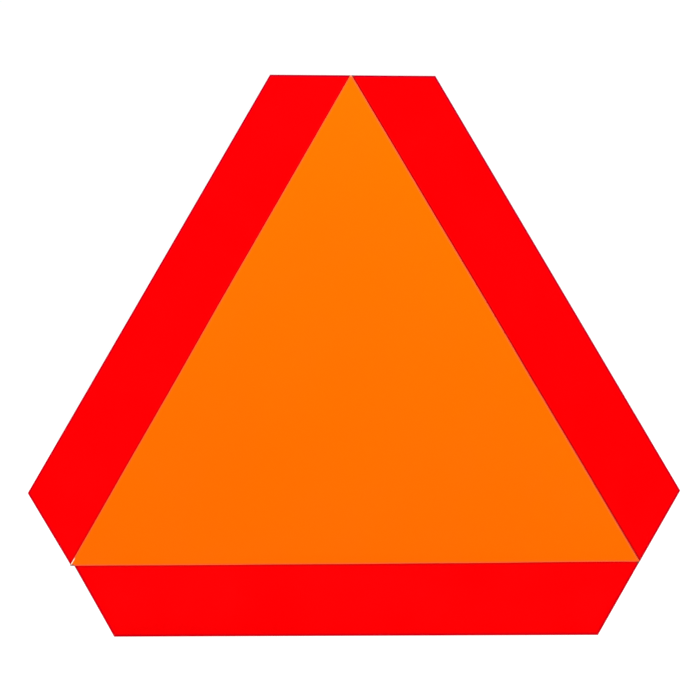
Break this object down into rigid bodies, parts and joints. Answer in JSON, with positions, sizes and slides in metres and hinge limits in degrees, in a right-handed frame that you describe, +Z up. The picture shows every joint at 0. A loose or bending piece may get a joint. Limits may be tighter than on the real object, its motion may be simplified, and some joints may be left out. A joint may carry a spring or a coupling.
{
  "type": "slow-moving-vehicle warning triangle",
  "caption": "Flat blunt-cornered warning triangle, fluorescent orange with red retroreflective border, on a bracket whose blade lifts out of a vehicle socket.",
  "frame": {"origin": "centre of the socket's rear face, where it meets the vehicle, 92 mm above the emblem's bottom edge", "axes": "+Z up, +Y into the vehicle (the emblem faces -Y), +X to the right as seen from in front of the emblem"},
  "size_m": [0.4126, 0.022, 0.3556],
  "materials": {
    "fluorescent_orange": "fluorescent orange pressure-sensitive film, satin",
    "red_retroreflective": "red glass-bead retroreflective film, smooth clear top",
    "aluminium_sheet": "mill finish rolled sheet, sheared edges",
    "black_coated_steel": "black powder coat, fine texture",
    "zinc_steel": "bright zinc plate"
  },
  "bodies": {
    "socket": {"socket_back_plate": "black_coated_steel", "socket_pocket": "black_coated_steel", "socket_rivet_upper_left": "zinc_steel", "socket_rivet_upper_right": "zinc_steel", "socket_rivet_lower_left": "zinc_steel", "socket_rivet_lower_right": "zinc_steel"},
    "emblem": {"fluorescent_triangle_film": "fluorescent_orange", "red_border_film_left": "red_retroreflective", "red_border_film_right": "red_retroreflective", "red_border_film_bottom": "red_retroreflective", "backing_plate": "aluminium_sheet", "mounting_spade": "black_coated_steel", "clinch_stud_top_left": "zinc_steel", "clinch_stud_top_centre": "zinc_steel", "clinch_stud_top_right": "zinc_steel", "clinch_stud_lower": "zinc_steel", "flat_washer_top_left": "zinc_steel", "flat_washer_top_centre": "zinc_steel", "flat_washer_top_right": "zinc_steel", "flat_washer_lower": "zinc_steel", "lock_nut_top_left": "zinc_steel", "lock_nut_top_centre": "zinc_steel", "lock_nut_top_right": "zinc_steel", "lock_nut_lower": "zinc_steel"}
  },
  "joints": [
    {"name": "emblem_lift", "type": "slide", "parent": "socket", "child": "emblem", "axis": [0, 0, 1], "range_m": [0, 0.075]}
  ]
}
